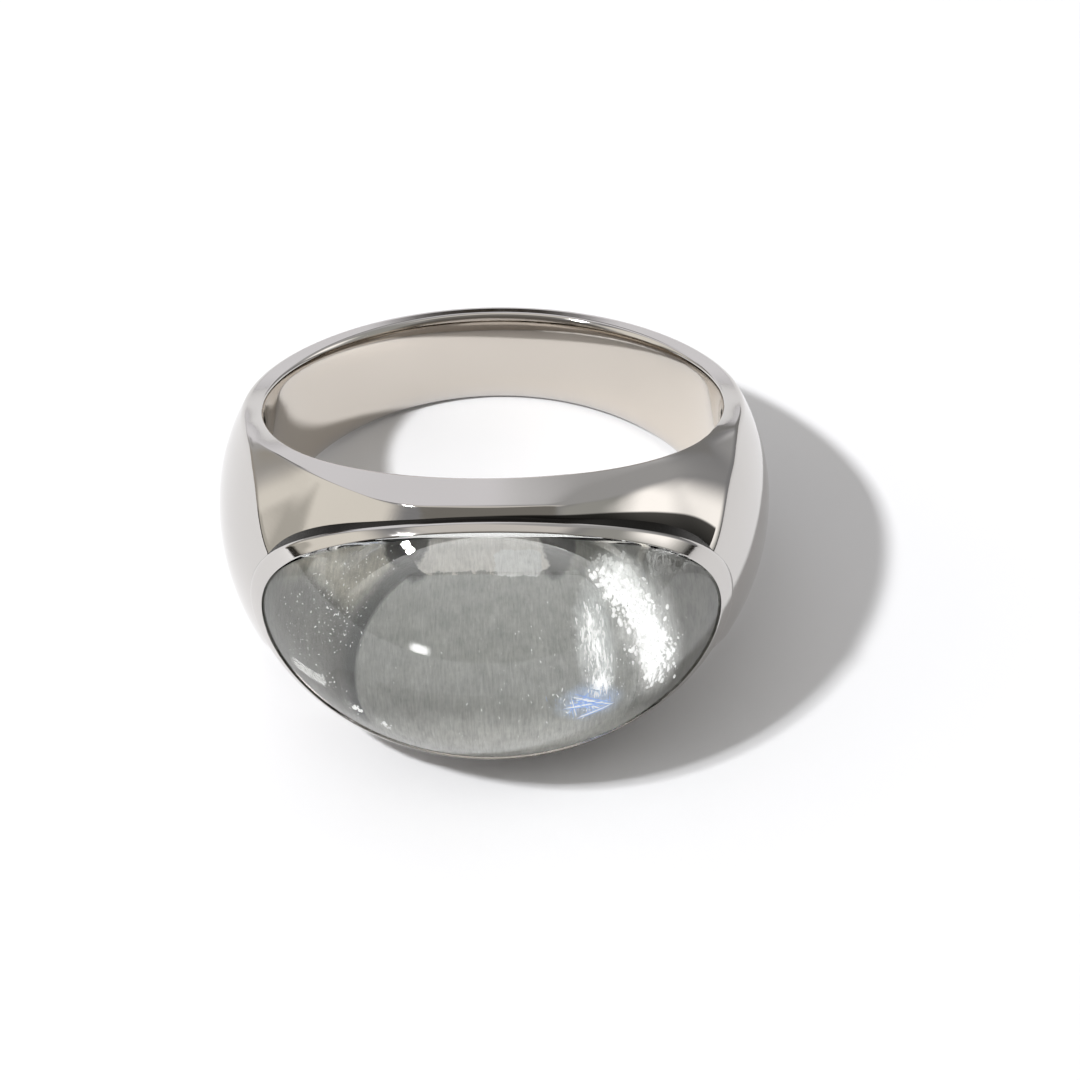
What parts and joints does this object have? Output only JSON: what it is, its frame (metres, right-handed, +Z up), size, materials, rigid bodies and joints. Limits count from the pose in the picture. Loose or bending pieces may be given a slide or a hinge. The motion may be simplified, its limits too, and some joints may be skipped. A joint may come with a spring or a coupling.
{
  "type": "gemstone ring",
  "caption": "Polished metal finger ring with a wide flared head and a long clear cabochon set flush in a thin oval lip, lying on its side.",
  "frame": {"origin": "centre of the ring's outline on the surface that it lies on, directly below the middle of its bounding box", "axes": "+Z up from the surface; -Y towards the head with the stone, +Y towards the palm side of the shank; +X to the right as seen from the head; the finger hole's axis lies in the YZ plane and leans 12.67 degrees from +Z towards +Y"},
  "size_m": [0.0208, 0.0232, 0.0116],
  "materials": {
    "band_metal": "mirror polished silver, rhodium plated",
    "clear_stone": "clear rock crystal, polished dome with fine inclusions"
  },
  "bodies": {
    "root": {"band": "band_metal", "stone": "clear_stone"}
  },
  "joints": []
}
